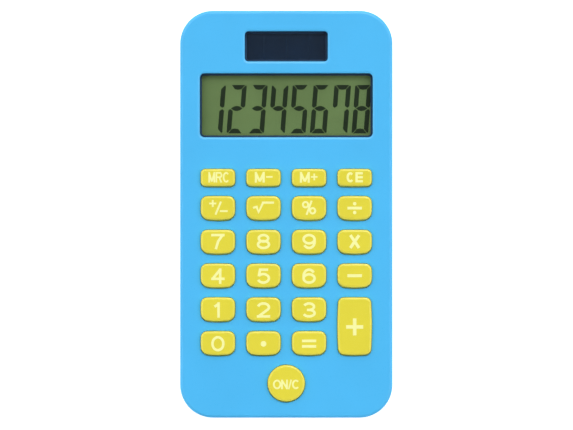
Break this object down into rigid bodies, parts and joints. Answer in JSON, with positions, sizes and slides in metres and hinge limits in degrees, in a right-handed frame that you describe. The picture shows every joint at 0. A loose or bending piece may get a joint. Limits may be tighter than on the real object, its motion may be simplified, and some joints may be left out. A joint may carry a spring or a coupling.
{
  "type": "pocket calculator",
  "caption": "Slim pocket calculator with a light blue rounded case, yellow push keys, a numeric liquid-crystal display, a solar cell window and a screwed battery cover.",
  "frame": {"origin": "on the surface that the feet stand on, under the middle of the case", "axes": "+X to the right-hand side of the keypad, +Y towards the solar-cell end, +Z out of the key face"},
  "size_m": [0.06, 0.115, 0.0111],
  "materials": {
    "case_plastic": "fine satin moulded ABS, light blue all through",
    "key_plastic": "fine satin moulded ABS, yellow, with printed legends",
    "clear_acrylic": "polished clear acrylic sheet",
    "display_glass": "thin polished display glass",
    "polariser_film": "olive-grey anti-glare film",
    "solar_glass": "dark navy amorphous silicon behind glass",
    "frame_plastic": "moulded grey ABS",
    "silicone_rubber": "translucent grey silicone",
    "board_laminate": "brown paper-phenolic laminate",
    "chip_epoxy": "black potting resin",
    "capacitor_ceramic": "fired tan ceramic",
    "diode_glass": "amber glass with tinned leads",
    "cell_steel": "nickel-plated steel can",
    "plated_steel": "zinc-plated steel",
    "contact_steel": "nickel-plated spring steel",
    "red_wire": "red PVC insulation",
    "black_wire": "black PVC insulation",
    "foot_rubber": "dark grey moulded rubber"
  },
  "bodies": {
    "case": {"front_shell": "case_plastic", "rear_shell": "case_plastic", "display_window": "clear_acrylic", "solar_window": "clear_acrylic", "lcd_front_glass": "display_glass", "lcd_rear_glass": "display_glass", "lcd_front_polariser": "polariser_film", "lcd_rear_polariser": "polariser_film", "solar_cell": "solar_glass", "lcd_frame": "frame_plastic", "key_membrane": "silicone_rubber", "lcd_connector": "silicone_rubber", "circuit_board": "board_laminate", "chip_encapsulation": "chip_epoxy", "capacitor": "capacitor_ceramic", "diode": "diode_glass", "button_cell": "cell_steel", "case_screw_1": "plated_steel", "case_screw_2": "plated_steel", "case_screw_3": "plated_steel", "case_screw_4": "plated_steel", "board_screw_1": "plated_steel", "board_screw_2": "plated_steel", "battery_contact_positive": "contact_steel", "battery_contact_negative": "contact_steel", "battery_lead_positive": "red_wire", "solar_lead_positive": "red_wire", "battery_lead_negative": "black_wire", "solar_lead_negative": "black_wire", "rubber_foot_1": "foot_rubber", "rubber_foot_2": "foot_rubber", "rubber_foot_3": "foot_rubber", "rubber_foot_4": "foot_rubber"},
    "key_memory_recall": {"key_memory_recall": "key_plastic"},
    "key_memory_minus": {"key_memory_minus": "key_plastic"},
    "key_memory_plus": {"key_memory_plus": "key_plastic"},
    "key_clear_entry": {"key_clear_entry": "key_plastic"},
    "key_sign_change": {"key_sign_change": "key_plastic"},
    "key_square_root": {"key_square_root": "key_plastic"},
    "key_percent": {"key_percent": "key_plastic"},
    "key_divide": {"key_divide": "key_plastic"},
    "key_7": {"key_7": "key_plastic"},
    "key_8": {"key_8": "key_plastic"},
    "key_9": {"key_9": "key_plastic"},
    "key_multiply": {"key_multiply": "key_plastic"},
    "key_4": {"key_4": "key_plastic"},
    "key_5": {"key_5": "key_plastic"},
    "key_6": {"key_6": "key_plastic"},
    "key_minus": {"key_minus": "key_plastic"},
    "key_1": {"key_1": "key_plastic"},
    "key_2": {"key_2": "key_plastic"},
    "key_3": {"key_3": "key_plastic"},
    "key_0": {"key_0": "key_plastic"},
    "key_decimal_point": {"key_decimal_point": "key_plastic"},
    "key_equals": {"key_equals": "key_plastic"},
    "key_plus": {"key_plus": "key_plastic"},
    "key_on_clear": {"key_on_clear": "key_plastic"},
    "battery_cover": {"battery_door": "case_plastic", "battery_door_screw": "plated_steel"}
  },
  "joints": [
    {"name": "key_memory_recall_press", "type": "slide", "parent": "case", "child": "key_memory_recall", "axis": [0, 0, -1], "range_m": [0, 0.001], "stiffness_N_per_m": 600, "springref_m": -0.0003, "deforming": ["key_membrane"]},
    {"name": "key_memory_minus_press", "type": "slide", "parent": "case", "child": "key_memory_minus", "axis": [0, 0, -1], "range_m": [0, 0.001], "stiffness_N_per_m": 600, "springref_m": -0.0003, "deforming": ["key_membrane"]},
    {"name": "key_memory_plus_press", "type": "slide", "parent": "case", "child": "key_memory_plus", "axis": [0, 0, -1], "range_m": [0, 0.001], "stiffness_N_per_m": 600, "springref_m": -0.0003, "deforming": ["key_membrane"]},
    {"name": "key_clear_entry_press", "type": "slide", "parent": "case", "child": "key_clear_entry", "axis": [0, 0, -1], "range_m": [0, 0.001], "stiffness_N_per_m": 600, "springref_m": -0.0003, "deforming": ["key_membrane"]},
    {"name": "key_sign_change_press", "type": "slide", "parent": "case", "child": "key_sign_change", "axis": [0, 0, -1], "range_m": [0, 0.001], "stiffness_N_per_m": 600, "springref_m": -0.0003, "deforming": ["key_membrane"]},
    {"name": "key_square_root_press", "type": "slide", "parent": "case", "child": "key_square_root", "axis": [0, 0, -1], "range_m": [0, 0.001], "stiffness_N_per_m": 600, "springref_m": -0.0003, "deforming": ["key_membrane"]},
    {"name": "key_percent_press", "type": "slide", "parent": "case", "child": "key_percent", "axis": [0, 0, -1], "range_m": [0, 0.001], "stiffness_N_per_m": 600, "springref_m": -0.0003, "deforming": ["key_membrane"]},
    {"name": "key_divide_press", "type": "slide", "parent": "case", "child": "key_divide", "axis": [0, 0, -1], "range_m": [0, 0.001], "stiffness_N_per_m": 600, "springref_m": -0.0003, "deforming": ["key_membrane"]},
    {"name": "key_7_press", "type": "slide", "parent": "case", "child": "key_7", "axis": [0, 0, -1], "range_m": [0, 0.001], "stiffness_N_per_m": 600, "springref_m": -0.0003, "deforming": ["key_membrane"]},
    {"name": "key_8_press", "type": "slide", "parent": "case", "child": "key_8", "axis": [0, 0, -1], "range_m": [0, 0.001], "stiffness_N_per_m": 600, "springref_m": -0.0003, "deforming": ["key_membrane"]},
    {"name": "key_9_press", "type": "slide", "parent": "case", "child": "key_9", "axis": [0, 0, -1], "range_m": [0, 0.001], "stiffness_N_per_m": 600, "springref_m": -0.0003, "deforming": ["key_membrane"]},
    {"name": "key_multiply_press", "type": "slide", "parent": "case", "child": "key_multiply", "axis": [0, 0, -1], "range_m": [0, 0.001], "stiffness_N_per_m": 600, "springref_m": -0.0003, "deforming": ["key_membrane"]},
    {"name": "key_4_press", "type": "slide", "parent": "case", "child": "key_4", "axis": [0, 0, -1], "range_m": [0, 0.001], "stiffness_N_per_m": 600, "springref_m": -0.0003, "deforming": ["key_membrane"]},
    {"name": "key_5_press", "type": "slide", "parent": "case", "child": "key_5", "axis": [0, 0, -1], "range_m": [0, 0.001], "stiffness_N_per_m": 600, "springref_m": -0.0003, "deforming": ["key_membrane"]},
    {"name": "key_6_press", "type": "slide", "parent": "case", "child": "key_6", "axis": [0, 0, -1], "range_m": [0, 0.001], "stiffness_N_per_m": 600, "springref_m": -0.0003, "deforming": ["key_membrane"]},
    {"name": "key_minus_press", "type": "slide", "parent": "case", "child": "key_minus", "axis": [0, 0, -1], "range_m": [0, 0.001], "stiffness_N_per_m": 600, "springref_m": -0.0003, "deforming": ["key_membrane"]},
    {"name": "key_1_press", "type": "slide", "parent": "case", "child": "key_1", "axis": [0, 0, -1], "range_m": [0, 0.001], "stiffness_N_per_m": 600, "springref_m": -0.0003, "deforming": ["key_membrane"]},
    {"name": "key_2_press", "type": "slide", "parent": "case", "child": "key_2", "axis": [0, 0, -1], "range_m": [0, 0.001], "stiffness_N_per_m": 600, "springref_m": -0.0003, "deforming": ["key_membrane"]},
    {"name": "key_3_press", "type": "slide", "parent": "case", "child": "key_3", "axis": [0, 0, -1], "range_m": [0, 0.001], "stiffness_N_per_m": 600, "springref_m": -0.0003, "deforming": ["key_membrane"]},
    {"name": "key_0_press", "type": "slide", "parent": "case", "child": "key_0", "axis": [0, 0, -1], "range_m": [0, 0.001], "stiffness_N_per_m": 600, "springref_m": -0.0003, "deforming": ["key_membrane"]},
    {"name": "key_decimal_point_press", "type": "slide", "parent": "case", "child": "key_decimal_point", "axis": [0, 0, -1], "range_m": [0, 0.001], "stiffness_N_per_m": 600, "springref_m": -0.0003, "deforming": ["key_membrane"]},
    {"name": "key_equals_press", "type": "slide", "parent": "case", "child": "key_equals", "axis": [0, 0, -1], "range_m": [0, 0.001], "stiffness_N_per_m": 600, "springref_m": -0.0003, "deforming": ["key_membrane"]},
    {"name": "key_plus_press", "type": "slide", "parent": "case", "child": "key_plus", "axis": [0, 0, -1], "range_m": [0, 0.001], "stiffness_N_per_m": 600, "springref_m": -0.0003, "deforming": ["key_membrane"]},
    {"name": "key_on_clear_press", "type": "slide", "parent": "case", "child": "key_on_clear", "axis": [0, 0, -1], "range_m": [0, 0.001], "stiffness_N_per_m": 600, "springref_m": -0.0003, "deforming": ["key_membrane"]},
    {"name": "battery_cover_lift_out", "type": "slide", "parent": "case", "child": "battery_cover", "axis": [0, 0, -1], "range_m": [0, 0.008]}
  ]
}
